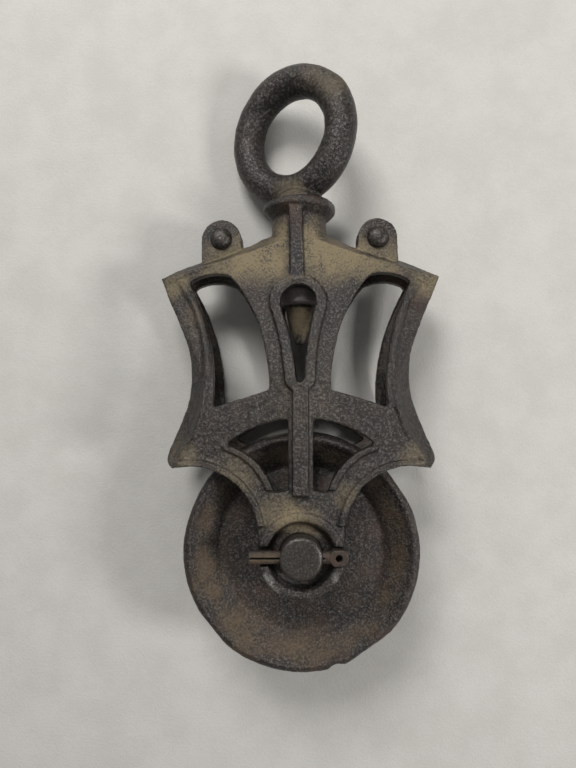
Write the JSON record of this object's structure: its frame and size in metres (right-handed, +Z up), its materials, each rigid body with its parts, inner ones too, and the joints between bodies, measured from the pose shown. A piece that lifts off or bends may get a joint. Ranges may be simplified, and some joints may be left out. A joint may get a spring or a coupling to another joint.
{
  "type": "pulley",
  "caption": "Old cast-iron barn pulley: two pierced cheeks riveted at the shoulders hold a grooved sheave on a cottered axle, under a swivel hanging eye.",
  "frame": {"origin": "centre of the axle's lower end face, on which the pulley rests when it lies on its back", "axes": "+Z up along the axle, +Y along the shank from the axle to the hanging eye, +X to the right"},
  "size_m": [0.1416, 0.3048, 0.061],
  "materials": {
    "cheek_iron": "sand-cast black iron with tan dust on the shoulders",
    "sheave_iron": "sand-cast grey-brown iron, dusty in the dish",
    "rivet_iron": "hammered dark iron",
    "axle_iron": "worn dark grey iron",
    "cotter_iron": "rusty grey wire",
    "eye_iron": "black iron, polished by use in the bore"
  },
  "bodies": {
    "frame": {"front_cheek": "cheek_iron", "rear_cheek": "cheek_iron", "left_rivet": "rivet_iron", "right_rivet": "rivet_iron", "axle": "axle_iron", "front_cotter": "cotter_iron", "rear_cotter": "cotter_iron"},
    "wheel": {"sheave": "sheave_iron"},
    "eye": {"swivel_eye": "eye_iron", "swivel_washer": "rivet_iron"}
  },
  "joints": [
    {"name": "sheave_spin", "type": "hinge", "parent": "frame", "child": "wheel", "pos_m": [0, 0, 0.0305], "axis": [0, 0, 1], "continuous": true},
    {"name": "eye_swivel", "type": "hinge", "parent": "frame", "child": "eye", "pos_m": [0, 0.174, 0.0305], "axis": [0, 1, 0], "continuous": true}
  ]
}
